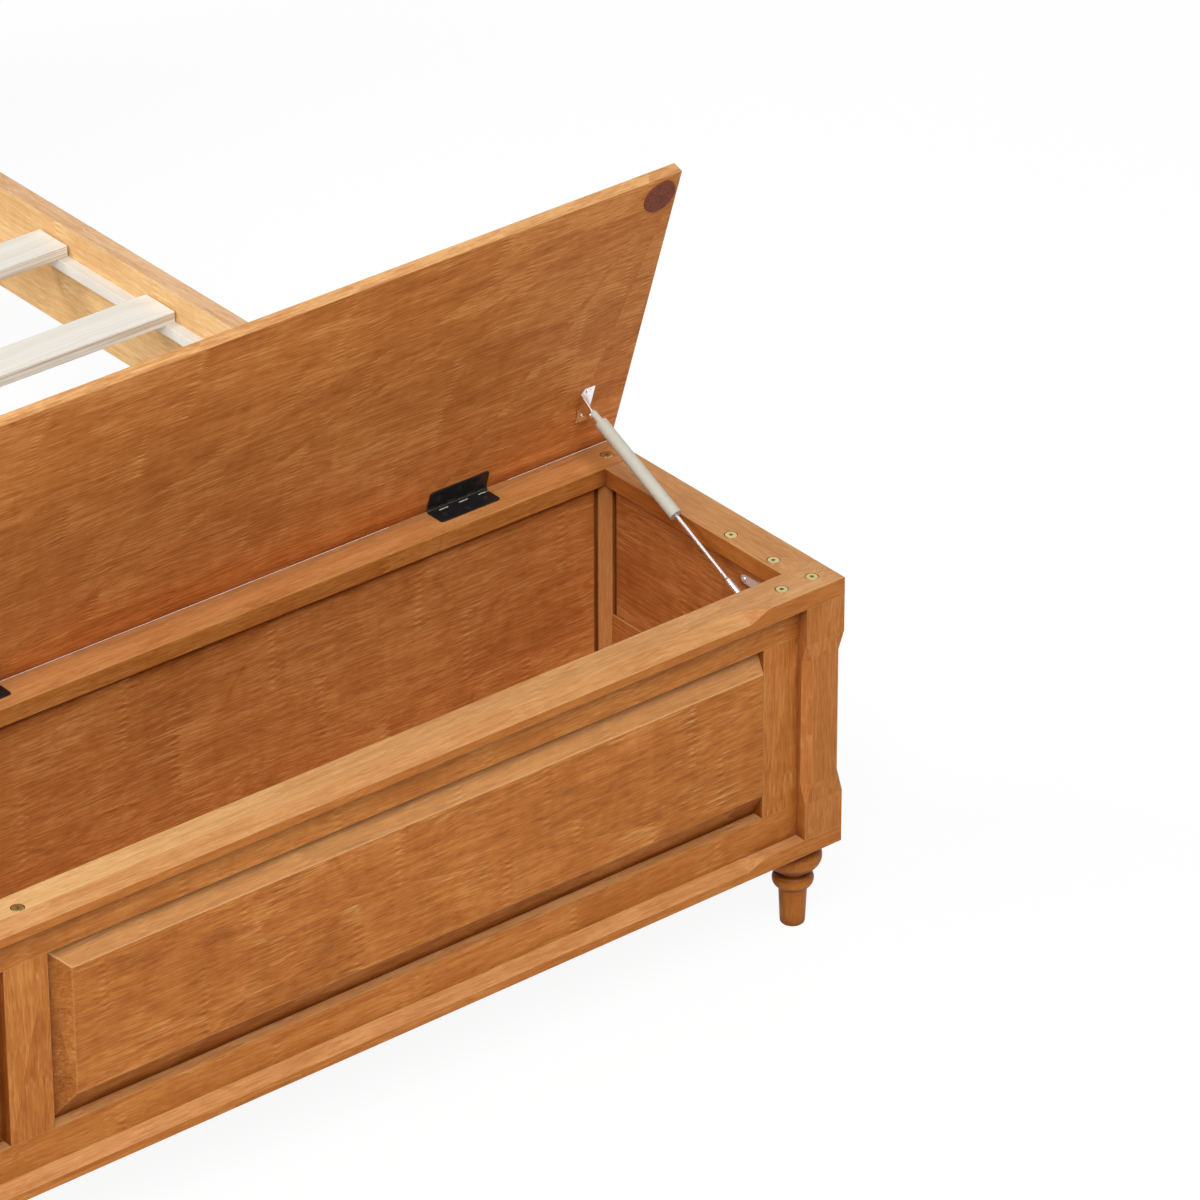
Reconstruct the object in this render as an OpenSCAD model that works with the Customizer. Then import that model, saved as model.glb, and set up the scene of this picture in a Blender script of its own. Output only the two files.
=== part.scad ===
// Bed whose footboard is a blanket chest with a lift-up lid.
// X runs across the bed, Y from the chest at the foot to the headboard, Z up.
// The origin is on the floor, in the middle of the bed.

/* [Overall] */
// Width of the bed over the ends of the chest
bed_w = 2045; // [1600:5:2200]
// Clear length between the chest and the headboard
inner_l = 2057; // [1700:1:2500]
// Height of the headboard over the floor
headboard_h = 1180; // [950:5:1420]
// Height of the turned feet
foot_h = 103; // [85:1:140]

/* [Chest] */
// Depth of the chest, front to back
chest_d = 379; // [315:1:460]
// Height of the corner posts between base and rim
post_h = 278; // [250:1:340]
// Side of the square corner posts
post_w = 50; // [44:1:60]
// Thickness of the rim boards on top of the posts
rim_t = 20; // [16:1:26]
// Width of the rim boards
rim_w = 46; // [40:1:56]
// Thickness of the base boards
base_t = 19; // [15:1:25]
// Width of the base boards
base_w = 71; // [64:1:90]
// Thickness of the chest floor
floor_t = 9; // [6:1:15]

/* [Frames and panels] */
// How far the frames stand back from the post faces
recess = 14.5; // [8:0.5:20]
// Thickness of the frame rails and stiles
frame_t = 20; // [17:0.5:26]
// Thickness of the sheet behind the frames
sheet_t = 3; // [2:0.5:6]
// Height of the frame rails
rail_h = 38; // [32:1:50]
// Width of the end stiles
stile_w = 46; // [38:1:60]
// Width of the stiles between two panels
mid_stile_w = 52; // [42:1:70]
// Width of the bevel round a raised panel
bevel_w = 28; // [18:1:34]
// Depth of the bevel
bevel_t = 13.5; // [10:0.5:17]

/* [Edge chamfers] */
// Chamfer on the rim, across its top
rim_cut_top = 15.2; // [8:0.1:18]
// Chamfer on the rim, down its front
rim_cut_front = 10.2; // [6:0.1:14]
// Chamfer on the base board, down its front
base_cut_front = 8.8; // [5:0.1:12]
// Where the long chamfers stop, from the end of the chest
cut_stop = 101; // [80:1:140]
// Length of the pointed run-out of the long chamfers
cut_run = 25; // [12:1:40]
// Size of the chamfers on the posts
post_cut = 8.5; // [5:0.5:12]
// Where the post chamfers stop, from either end of the post
post_cut_stop = 43; // [30:1:60]
// Length of the run-out of the post chamfers
post_cut_run = 22; // [10:1:30]
// Size of the chamfer on a post's corner inside the chest
inner_cut = 10.5; // [6:0.5:12]

/* [Lid] */
// Thickness of the lid
lid_t = 13.4; // [12:0.1:22]
// Overhang of the closed lid over the chest front
lid_over = 3.2; // [0:0.1:10]
// Gap between the lid's end and the end of the chest
lid_end_gap = 0.8; // [0:0.1:4]
// Angle between the open lid and the closed one
lid_open = 72.2; // [40:0.1:85]
// Diameter of the felt pads
pad_d = 40; // [25:1:50]
// Thickness of the felt pads
pad_t = 1.8; // [0.8:0.1:3]
// Distance of the felt pads from the lid's end
pad_end = 24.5; // [21:0.5:40]
// Distance of the felt pads from the lid's front edge
pad_front = 25.5; // [21:0.5:40]

/* [Hinges] */
// Length of a hinge leaf
leaf_l = 78; // [70:1:100]
// Width of a hinge leaf, from the pin
leaf_w = 24.5; // [18:0.5:32]
// Thickness of a hinge leaf
leaf_t = 1.5; // [1:0.1:2]
// Outer diameter of the hinge barrel
barrel_d = 4.4; // [3.8:0.1:7]
// Diameter of the hinge pin
pin_d = 2; // [1.4:0.1:2.4]
// Middle of the outer hinges, from the end of the chest
hinge_end = 210.3; // [120:0.5:300]
// Middle of the inner hinges, from the middle of the chest
hinge_mid = 188; // [100:1:400]

/* [Struts] */
// Pivot on the lid, from the hinge pin
strut_lid_l = 76.3; // [65:0.1:100]
// Pivot on the lid, off its inner face
strut_lid_d = 20.2; // [14:0.1:24]
// Pivot in the chest, from the chest front
strut_foot_y = 87.4; // [75:0.1:110]
// Pivot in the chest, below the top of the rim
strut_foot_drop = 46.5; // [38:0.5:60]
// Distance of the struts from the end of the chest
strut_in = 59; // [56:0.5:70]
// Diameter of the strut tube
tube_d = 14; // [10:0.1:15]
// Length of the strut tube
tube_l = 135.5; // [110:0.5:145]
// Diameter of the strut rod
rod_d = 4; // [3:0.1:6]

/* [Bed frame] */
// Height of the side rails
side_h = 132; // [100:1:180]
// Thickness of the side rails
side_t = 22.8; // [18:0.1:30]
// Height of the side rails over the base boards
side_rise = 40; // [20:1:60]
// Width of the slat ledgers
ledger_w = 15; // [12:0.5:30]
// Height of the slat ledgers
ledger_h = 13.5; // [10:0.5:30]
// Top of the ledgers, below the top of the side rails
ledger_drop = 35.4; // [30:0.1:50]
// Slats that one length of ledger carries
ledger_slats = 5; // [2:1:10]
// How far a length of ledger stops inside the edge of its last slat
ledger_inset = 10; // [2:1:25]
// Width of a slat
slat_w = 55; // [40:1:80]
// Thickness of a slat
slat_t = 14; // [9:0.5:20]
// Step from one slat to the next
slat_pitch = 207; // [150:1:300]
// Distance from the chest to the first slat
slat_first = 129; // [60:1:200]
// Gap between a slat's end and the side rail
slat_gap = 2; // [0.5:0.5:5]
// Width of the middle beam and its legs
beam_w = 40; // [30:1:50]
// Height of the middle beam
beam_h = 68; // [50:1:90]

/* [Headboard] */
// Depth of the headboard's cap and base boards
head_d = 62; // [62:1:90]
// Height of the lower part, behind the mattress
head_low_h = 438; // [300:1:560]
// Panels side by side
head_panels = 4; // [2:2:6]

/* [Hidden] */
$fn = 48;

wood = "peru";
pine = "antiquewhite";
// Overlap of a cut past the face it starts from
eps = 1;
// Play round a screw or bolt in its hole
play = 0.05;
// Gap round the chest floor
floor_gap = 0.5;
// Gap between the sheets inside the chest and the posts
sheet_gap = 4.5;

total_l = chest_d + inner_l + (post_w + head_d) / 2;
half_w = bed_w / 2;
foot_y = -total_l / 2;
base_top = foot_h + base_t;
post_top = base_top + post_h;
rim_top = post_top + rim_t;
wall_in = recess + frame_t + sheet_t;
// The posts' inner chamfer leaves a flat beside the walls, for what meets a post there
corner_flat = 2;
corner_cut = min(inner_cut, post_w - wall_in - corner_flat);
front_l = bed_w - 2 * post_w;
end_l = chest_d - 2 * post_w;
opening_h = post_h - 2 * rail_h;

// Turned foot: a large bead, a smaller one and a tapered leg
foot_inset = base_w / 2;
bead_r = 14.4;
bead_c = 16.3;
bead_z = foot_h - 19.6;
ring_r = 9.8;
ring_c = 12.5;
ring_z = foot_h - 48;
collar_r = 24;
neck_r = 15;
leg_top_r = 15.3;
leg_low_r = 13.4;
leg_round = 3;
bead_from = -75;
bead_to = 60;
ring_to = 70;
neck_a = 80;
shoulder_t = 4;

// Rim bolts
bolt_head_d = 13.6;
bolt_head_t = 1.8;
bolt_head_play = 0.4;
bolt_edge = 0.5;
bolt_d = 6;
bolt_l = rim_t + 30;
bolt_key = 5;
stile_bolt = post_w + 15.5;
end_bolt_in = 33.5;
bolt_key_t = 2.6;
end_bolt_y = [74, 142];

// Inner skirts and strut pads on the end walls
skirt_t = 2.5;
skirt_h = 111;
skirt_z = base_top + floor_t;
pad_w = 94;

// Hinge axis: the leaves lie against the rim and the lid, the barrel between them
barrel_gap = 0.3;
axis_h = barrel_d / 2 + barrel_gap;
axis_in = 3.5;
axis_y = foot_y + chest_d - axis_in;
axis_z = rim_top + axis_h;
lid_back = 2.9;
lid_d = chest_d - axis_in + lid_over + lid_back;
knuckles = 6;
knuckle_l = leaf_l / knuckles;
knuckle_gap = 0.25;
notch_front = 1.8;
hinge_x = [half_w - hinge_end, hinge_mid];
screw_d = 3;
screw_head_d = 6.4;
screw_head_t = 0.7;
screw_head_play = 0.2;
slot_l = 3.4;
slot_w = 0.7;
slot_t = 0.4;
screw_l = 11;
screw_end = 12;
screw_near = 14;
screw_far = 18.5;
leaf_corner = 3;

// Strut geometry at rest, with the lid open
strut_x = half_w - strut_in;
lid_pivot = [-strut_lid_l, axis_h - strut_lid_d];
pivot_y = axis_y + lid_pivot[0] * cos(lid_open) + lid_pivot[1] * sin(lid_open);
pivot_z = axis_z - lid_pivot[0] * sin(lid_open) + lid_pivot[1] * cos(lid_open);
stand_y = foot_y + strut_foot_y;
stand_z = rim_top - strut_foot_drop;
strut_l = norm([pivot_y - stand_y, pivot_z - stand_z]);
strut_a = atan2(pivot_z - stand_z, pivot_y - stand_y);
socket_d = 7.6;
socket_l = 13.5;
tube_from = strut_l - socket_l - tube_l;
tube_cap = 6;
rod_in_tube = 20;
rod_play = 0.1;
fitting_l = 31;
fitting_d = 7;
fitting_cone = 3;
eye_r = 4.5;
eye_w = 7.4;
seam_from = 21;
seam_w = 0.8;
seam_t = 0.4;

// Strut brackets
plate_t = 1.5;
bracket_screw_l = 9;
bracket_head_t = 1.2;
stud_d = 5;
stud_head_d = 8;
stud_head_t = 1.5;
stud_gap = 0.4;
strap_wide = 1;
stand_face = strut_in - wall_in - skirt_t;
strap_r = 5;
stand_screws = [[24, 10], [-18, 10]];
ear_t = 1.3;
ear_gap = 0.45;
rivet_d = 4;
rivet_t = 0.8;
lid_screws = [[3.3, 14.7], [3.3, -20.5], [17.7, -25.8]];

// Bed frame
side_z = base_top + side_rise;
ledger_top = side_z + side_h - ledger_drop;
slat_l = bed_w - 2 * (side_t + slat_gap);
slat_count = floor((inner_l - slat_first - slat_w) / slat_pitch) + 1;
rail_y0 = foot_y + chest_d;
head_y = rail_y0 + inner_l;
head_recess = (post_w - frame_t - sheet_t) / 2;
beam_y0 = rail_y0 - recess;
beam_l = inner_l + recess + head_recess;
ledger_gap = 6;
cleat_h = 30;
cleat_t = 24;
leg_count = 3;
glide_t = 4;
glide_r = 15;

// Steel angle between a side rail and a post
angle_t = 2;
angle_h = 70;
angle_z = side_z + 8;
angle_bolt_out = 0.65;
angle_dimple = 0.4;
angle_post = 24;
angle_rail = 40;
angle_bolt_d = 6;
angle_bolt_l = 20;
angle_head_d = 11;
angle_head_t = 3.6;
angle_bolt_z = [16, 54];

// Headboard
head_post_h = headboard_h - rim_t - base_top;
head_high_h = head_post_h - head_low_h;

// One side of the bed is drawn, the other is its mirror image.
module side(s) {
    if (s > 0) children();
    else mirror([1, 0, 0]) children();
}

module both() {
    for (s = [-1, 1]) side(s) children();
}

// Cutter for a chamfer along +X on an edge whose wood lies towards +Y and -Z. It is flat in
// the middle, and each end runs out to a point on the edge.
module stopped_chamfer(length, top, front, run) {
    out = 4;
    points = [[0, 0, 0], [run, 0, -front], [run, top, 0],
        [length - run, 0, -front], [length - run, top, 0], [length, 0, 0],
        [0, -out, out], [length, -out, out]];
    polyhedron(points, [[1, 2, 0], [3, 4, 2, 1], [5, 4, 3], [4, 7, 6, 2], [6, 7, 3, 1],
        [2, 6, 0], [6, 1, 0], [7, 4, 5], [3, 7, 5]]);
}

// Square post from z = 0, its outer corner at the origin and its wood towards -X and +Y,
// with stopped chamfers on the edges of its outward front face, and either the same on its
// back face or a plain chamfer on the corner inside the chest
module post(h, back_too = false) {
    difference() {
        translate([-post_w, 0, 0]) cube([post_w, post_w, h]);
        post_cuts(h);
        if (back_too) translate([0, post_w, 0]) mirror([0, 1, 0]) post_cuts(h);
        else translate([-post_w, post_w, -eps]) linear_extrude(h + 2 * eps)
            polygon([[-eps, eps], [corner_cut + eps, eps], [-eps, -corner_cut - eps]]);
    }
}

module post_cuts(h) {
    length = h - 2 * post_cut_stop;
    for (outer = [0, 1])
        translate([outer ? 0 : -post_w, 0, post_cut_stop]) mirror([outer, 0, 0]) rotate([0, -90, 0])
            stopped_chamfer(length, post_cut, post_cut, post_cut_run);
}

// Arc of a turned profile, as points
function arc(r, z, size, from, to, steps = 12) =
    [for (i = [0:steps]) let (a = from + (to - from) * i / steps) [r + size * cos(a), z + size * sin(a)]];

module turned_foot() {
    ring_meet = -acos((leg_top_r - ring_c) / ring_r);
    rotate_extrude()
        polygon(concat(
            [[0, 0], [leg_low_r - leg_round, 0]],
            arc(leg_low_r - leg_round, leg_round, leg_round, -90, 0, 5),
            [[leg_top_r, ring_z + ring_r * sin(ring_meet)]],
            arc(ring_c, ring_z, ring_r, ring_meet, ring_to),
            [[neck_r, bead_z - bead_r * sin(neck_a)]],
            arc(bead_c, bead_z, bead_r, bead_from, bead_to, 16),
            [[collar_r - 1, foot_h - shoulder_t], [collar_r, foot_h], [0, foot_h]]));
}

module chest_foot(s, back) {
    y = back ? chest_d - foot_inset : foot_inset;
    color(wood) side(s) translate([half_w - foot_inset, foot_y + y, 0]) turned_foot();
}

// Frame and panel walls are drawn from x = 0 and z = 0, with their face at y = 0. Rails and
// stiles stand in front of a thin sheet that shows inside.
function opening_w(length, count) =
    (length - 2 * stile_w - (count - 1) * mid_stile_w) / count;
function opening_x(length, count, i) =
    stile_w + i * (opening_w(length, count) + mid_stile_w);

module wall_rail(length) {
    cube([length, frame_t, rail_h]);
}

module wall_stiles(length, count, height) {
    for (i = [0:count]) {
        x = i == 0 ? 0 : opening_x(length, count, i) - mid_stile_w;
        last = i == 0 || i == count;
        translate([i == count ? length - stile_w : x, 0, 0])
            cube([last ? stile_w : mid_stile_w, frame_t, height]);
    }
}

// Field flush with the frame, and a bevel that falls to the frame's opening, at the left and
// right only where one is asked for
module raised_field(w, h, left, right) {
    b = bevel_w;
    l = left ? b : 0;
    r = right ? b : 0;
    polyhedron(
        [[l, 0, b], [w - r, 0, b], [w - r, 0, h - b], [l, 0, h - b],
        [0, bevel_t, 0], [w, bevel_t, 0], [w, bevel_t, h], [0, bevel_t, h]],
        [[3, 2, 1, 0], [4, 5, 6, 7], [0, 1, 5, 4], [1, 2, 6, 5], [2, 3, 7, 6], [3, 0, 4, 7]]);
}

// One panel with its part of the sheet, which runs behind the frame and meets the next
// panel's behind the stile. The outer panels' fields can run right up to the end stiles.
module wall_panel(length, count, i, height, gap, raised = true, run_up = false) {
    w = opening_w(length, count);
    from = i == 0 ? gap : opening_x(length, count, i) - mid_stile_w / 2;
    to = i == count - 1 ? length - gap : opening_x(length, count, i) + w + mid_stile_w / 2;
    translate([opening_x(length, count, i), 0, rail_h]) {
        translate([0, bevel_t, 0]) cube([w, frame_t - bevel_t, height - 2 * rail_h]);
        if (raised)
            raised_field(w, height - 2 * rail_h, !(run_up && i == 0), !(run_up && i == count - 1));
    }
    translate([from, frame_t, 0]) cube([to - from, sheet_t, height]);
}

// Places of the chest's walls
module at_front() {
    translate([-front_l / 2, foot_y + recess, base_top]) children();
}

module at_back() {
    translate([front_l / 2, foot_y + chest_d - recess, base_top]) rotate([0, 0, 180]) children();
}

module at_right_end() {
    translate([half_w - recess, foot_y + post_w, base_top]) rotate([0, 0, 90]) children();
}

// Bolts through the rim: the round heads lie flush in the rim
module at_bolts() {
    both() {
        for (p = [[post_w / 2, rim_w / 2], [stile_bolt, rim_w / 2], [post_w / 2, chest_d - rim_w / 2],
                [end_bolt_in, end_bolt_y[0]], [end_bolt_in, end_bolt_y[1]]])
            translate([half_w - p[0], foot_y + p[1], rim_top]) children();
    }
    translate([0, foot_y + rim_w / 2, rim_top]) children();
}

module bolt_holes() {
    at_bolts() {
        translate([0, 0, -bolt_l - eps]) cylinder(d = bolt_d + 2 * play, h = bolt_l + 2 * eps);
        translate([0, 0, -bolt_head_t])
            cylinder(d = bolt_head_d + 2 * bolt_head_play, h = bolt_head_t + eps);
    }
}

module rim_bolts() {
    color("goldenrod") at_bolts() difference() {
        union() {
            translate([0, 0, -bolt_l]) cylinder(d = bolt_d, h = bolt_l - bolt_edge);
            translate([0, 0, -bolt_head_t]) cylinder(d = bolt_head_d, h = bolt_head_t - bolt_edge);
            translate([0, 0, -bolt_edge])
                cylinder(d1 = bolt_head_d, d2 = bolt_head_d - 3 * bolt_edge, h = bolt_edge);
        }
        translate([0, 0, -bolt_key_t]) cylinder(d = bolt_key, h = bolt_key_t + eps, $fn = 6);
    }
}

// Base boards under the posts, which the feet carry
module base_long(back) {
    y = back ? chest_d - base_w : 0;
    color(wood) difference() {
        translate([-half_w, foot_y + y, foot_h]) cube([bed_w, base_w, base_t]);
        if (!back) translate([-half_w + cut_stop, foot_y, base_top])
            stopped_chamfer(bed_w - 2 * cut_stop, recess, base_cut_front, cut_run);
    }
}

module base_end(s) {
    color(wood) side(s) translate([half_w - base_w, foot_y + base_w, foot_h])
        cube([base_w, chest_d - 2 * base_w, base_t]);
}

module chest_post(s, back) {
    color(wood) difference() {
        side(s) translate([half_w, foot_y + (back ? chest_d : 0), base_top])
            mirror([0, back ? 1 : 0, 0]) post(post_h);
        bolt_holes();
        angle_bolt_holes();
    }
}

module front_rail(top) {
    color(wood) difference() {
        at_front() translate([0, 0, top ? post_h - rail_h : 0]) wall_rail(front_l);
        bolt_holes();
    }
}

module front_stiles() {
    color(wood) at_front() translate([0, 0, rail_h]) wall_stiles(front_l, 2, opening_h);
}

module front_panel(i) {
    color(wood) at_front() wall_panel(front_l, 2, i, post_h, sheet_gap, run_up = true);
}

module back_rails() {
    color(wood) at_back() for (top = [false, true])
        translate([0, 0, top ? post_h - rail_h : 0]) wall_rail(front_l);
}

module back_stiles() {
    color(wood) at_back() translate([0, 0, rail_h]) wall_stiles(front_l, 2, opening_h);
}

module back_panels() {
    color(wood) at_back() for (i = [0, 1]) wall_panel(front_l, 2, i, post_h, sheet_gap);
}

module end_frame(s) {
    color(wood) side(s) difference() {
        at_right_end() {
            for (top = [false, true])
                translate([0, 0, top ? post_h - rail_h : 0]) wall_rail(end_l);
            translate([0, 0, rail_h]) wall_stiles(end_l, 1, opening_h);
        }
        bolt_holes();
        at_stand_screws() screw_hole(bracket_screw_l);
    }
}

module end_panel(s) {
    color(wood) side(s) difference() {
        at_right_end() wall_panel(end_l, 1, 0, post_h, sheet_gap);
        bolt_holes();
        at_stand_screws() screw_hole(bracket_screw_l);
    }
}

// Floor on the base boards, cut out round the posts
module chest_floor() {
    inset = wall_in + floor_gap;
    corner = post_w + floor_gap;
    color(wood) translate([0, 0, base_top]) difference() {
        translate([-half_w + inset, foot_y + inset, 0])
            cube([bed_w - 2 * inset, chest_d - 2 * inset, floor_t]);
        both() for (y = [0, chest_d - corner])
            translate([half_w - corner, foot_y + y, -eps]) cube([corner, corner, floor_t + 2 * eps]);
    }
}

// Board along the foot of each end wall, inside
module end_skirts() {
    color(wood) both() translate([half_w - wall_in - skirt_t, foot_y + post_w, skirt_z])
        cube([skirt_t, end_l, skirt_h]);
}

// Flat pad on each end wall that the strut's bracket is screwed to
module strut_pads() {
    low = skirt_z + skirt_h;
    color(wood) difference() {
        both() translate([half_w - wall_in - skirt_t, foot_y + post_w, low])
            cube([skirt_t, pad_w, post_top - low]);
        both() at_stand_screws() screw_hole(bracket_screw_l);
    }
}

module rim_long(back) {
    y = back ? chest_d - rim_w : 0;
    color(wood) difference() {
        translate([-half_w, foot_y + y, post_top]) cube([bed_w, rim_w, rim_t]);
        if (!back) translate([-half_w + cut_stop, foot_y, rim_top])
            stopped_chamfer(bed_w - 2 * cut_stop, rim_cut_top, rim_cut_front, cut_run);
        bolt_holes();
        if (back) at_hinges() at_leaf_screws() screw_hole(screw_l);
    }
}

module rim_end(s) {
    color(wood) difference() {
        side(s) translate([half_w - rim_w, foot_y + rim_w, post_top])
            cube([rim_w, chest_d - 2 * rim_w, rim_t]);
        bolt_holes();
    }
}

// Hinges. The leaves are drawn with the pin along X through the origin, and with the wood
// below them at z = -axis_h.
module at_hinges() {
    both() for (x = hinge_x) translate([x, axis_y, axis_z]) children();
}

module at_leaf_screws() {
    for (p = [[-1, screw_near], [0, screw_far], [1, screw_near]])
        translate([p[0] * (leaf_l / 2 - screw_end), -p[1], -axis_h + leaf_t]) children();
}

module leaf_outline() {
    c = leaf_corner;
    h = leaf_l / 2;
    bow = (1 - cos(45)) * c;
    polygon([[-h, 0], [h, 0], [h, -leaf_w + c], [h - bow, -leaf_w + bow], [h - c, -leaf_w],
        [-h + c, -leaf_w], [-h + bow, -leaf_w + bow], [-h, -leaf_w + c]]);
}

// Middles of the knuckles. Counted from the middle of the chest, the first is on the
// chest's leaf, the next on the lid's, and so on.
chest_knuckles = [for (i = [0:2:knuckles - 1]) (i + 0.5) * knuckle_l - leaf_l / 2];
lid_knuckles = [for (x = chest_knuckles) x + knuckle_l];

// A leaf with its own knuckles, notched for those of the other leaf
module hinge_leaf(notches) {
    notch = barrel_d / 2 + notch_front;
    difference() {
        union() {
            translate([0, 0, -axis_h]) linear_extrude(leaf_t) leaf_outline();
            rotate([0, 90, 0]) cylinder(d = barrel_d, h = leaf_l, center = true);
        }
        for (x = notches)
            translate([x - knuckle_l / 2 - knuckle_gap, -notch, -axis_h - eps])
                cube([knuckle_l + 2 * knuckle_gap, notch + barrel_d, 2 * (axis_h + eps)]);
        rotate([0, 90, 0]) cylinder(d = pin_d + 2 * play, h = leaf_l + 2 * eps, center = true);
        at_leaf_screws() screw_hole(screw_l);
    }
}

module screw_hole(length) {
    translate([0, 0, -length - eps]) cylinder(d = screw_d + 2 * play, h = length + 2 * eps);
    translate([0, 0, -screw_head_t]) cylinder(d = screw_head_d + 2 * screw_head_play, h = screw_head_t + eps);
}

// Countersunk screw, its head flush at z = 0
module flush_screw(length) {
    difference() {
        union() {
            translate([0, 0, -length]) cylinder(d = screw_d, h = length - screw_head_t / 2);
            translate([0, 0, -screw_head_t]) cylinder(d = screw_head_d, h = screw_head_t);
        }
        for (a = [0, 90]) rotate([0, 0, a]) cube([slot_l, slot_w, 2 * slot_t], center = true);
    }
}

// Pan head screw, seated on z = 0
module pan_screw(length, head_d, head_t, shank_d) {
    difference() {
        union() {
            translate([0, 0, -length]) cylinder(d = shank_d, h = length + head_t / 2);
            cylinder(d1 = head_d, d2 = 0.7 * head_d, h = head_t);
        }
        for (a = [0, 90]) rotate([0, 0, a]) translate([0, 0, head_t])
            cube([slot_l, slot_w, 2 * slot_t], center = true);
    }
}

// Turns what is drawn for a closed lid, about the hinge pin, to the open lid.
module lid_place() {
    translate([0, axis_y, axis_z]) rotate([-lid_open, 0, 0]) children();
}

// Turns a leaf over, so that it lies under the closed lid.
module at_lid_hinges() {
    lid_place() both() for (x = hinge_x) translate([x, 0, 0]) mirror([0, 0, 1]) children();
}

module lid() {
    color(wood) difference() {
        lid_place() translate([-half_w + lid_end_gap, lid_back - lid_d, axis_h])
            cube([bed_w - 2 * lid_end_gap, lid_d, lid_t]);
        at_lid_hinges() at_leaf_screws() screw_hole(screw_l);
        both() at_lid_plate_screws() screw_hole(bracket_screw_l);
    }
}

module felt_pads() {
    color("saddlebrown") lid_place() both()
        translate([half_w - pad_end, lid_back - lid_d + pad_front, axis_h - pad_t])
            cylinder(d = pad_d, h = pad_t);
}

module hinge_leaves_chest() {
    color("dimgray") at_hinges() hinge_leaf(lid_knuckles);
}

module hinge_leaves_lid() {
    color("dimgray") at_lid_hinges() hinge_leaf(chest_knuckles);
}

module hinge_pins() {
    color("silver") at_hinges() rotate([0, 90, 0]) cylinder(d = pin_d, h = leaf_l, center = true);
}

module hinge_screws_chest() {
    color("black") at_hinges() at_leaf_screws() flush_screw(screw_l);
}

module hinge_screws_lid() {
    color("black") at_lid_hinges() at_leaf_screws() flush_screw(screw_l);
}

// Struts. A stud on a screwed plate in the chest carries the rod. The tube's socket lies
// beside the ear of the plate on the lid.
module at_stand() {
    translate([strut_x, stand_y, stand_z]) children();
}

module at_stand_screws() {
    for (p = stand_screws)
        translate([strut_x + stand_face - plate_t, stand_y + p[0], stand_z + p[1]])
            rotate([0, -90, 0]) children();
}

// Flat strap between two round ends, in the plane of x = 0
module strap(from, to, r, t) {
    length = norm(to - from);
    for (p = [from, to]) translate([0, p[0], p[1]]) rotate([0, 90, 0]) cylinder(r = r, h = t);
    translate([0, from[0], from[1]]) rotate([atan2(to[1] - from[1], to[0] - from[0]), 0, 0])
        translate([0, 0, -r]) cube([t, length, 2 * r]);
}

module strut_brackets_chest() {
    inside = eye_w / 2 + stud_gap;
    color("silver") both() difference() {
        at_stand() {
            translate([stand_face - plate_t, 0, 0]) {
                strap(stand_screws[1], stand_screws[0], strap_r, plate_t);
                strap([0, 0], [0, stand_screws[0][1]], strap_r + strap_wide, plate_t);
            }
            rotate([0, 90, 0]) {
                translate([0, 0, -inside]) cylinder(d = stud_d, h = inside + stand_face - plate_t / 2);
                translate([0, 0, inside]) cylinder(d = stud_head_d, h = stand_face - plate_t / 2 - inside);
                translate([0, 0, -inside - stud_head_t]) cylinder(d = stud_head_d, h = stud_head_t);
            }
        }
        at_stand_screws() screw_hole(bracket_screw_l);
    }
    color("silver") both() at_stand_screws()
        pan_screw(bracket_screw_l, screw_head_d, bracket_head_t, screw_d);
}

// Draws along the strut, from the chest's stud towards the lid.
module along_strut(s) {
    side(s) at_stand() rotate([strut_a, 0, 0]) children();
}

// Rod with the fitting that turns on the chest's stud
module strut_rod(s) {
    color("gainsboro") along_strut(s) difference() {
        union() {
            rotate([0, 90, 0]) cylinder(r = eye_r, h = eye_w, center = true);
            rotate([-90, 0, 0]) {
                cylinder(d = fitting_d, h = fitting_l);
                translate([0, 0, fitting_l]) cylinder(d1 = fitting_d, d2 = rod_d, h = fitting_cone);
                cylinder(d = rod_d, h = tube_from + rod_in_tube);
            }
        }
        rotate([0, 90, 0]) cylinder(d = stud_d + 2 * play, h = eye_w + 2 * eps, center = true);
    }
}

// Tube with a round socket at its upper end
module strut_tube(s) {
    color("lightgray") along_strut(s) difference() {
        union() {
            translate([0, tube_from, 0]) rotate([-90, 0, 0]) {
                cylinder(d = tube_d, h = tube_l);
                cylinder(d = socket_d, h = tube_l + socket_l);
            }
            translate([0, strut_l, 0]) sphere(d = socket_d);
        }
        translate([0, tube_from - eps, 0]) rotate([-90, 0, 0])
            cylinder(d = rod_d + 2 * rod_play, h = tube_l - tube_cap + eps);
        translate([0, tube_from + seam_from, 0]) rotate([-90, 0, 0]) difference() {
            cylinder(d = tube_d + 2, h = seam_w);
            translate([0, 0, -eps]) cylinder(d = tube_d - 2 * seam_t, h = seam_w + 2 * eps);
        }
    }
}

// Place under the closed lid, by its distance from the strut towards the end of the chest,
// and its distance past the strut's pivot, away from the hinge
module at_lid_plate(p) {
    lid_place() translate([strut_x + p[0], -strut_lid_l - p[1], axis_h]) children();
}

module at_lid_plate_screws() {
    for (p = lid_screws) at_lid_plate(p) translate([0, 0, -plate_t]) mirror([0, 0, 1]) children();
}

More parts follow.
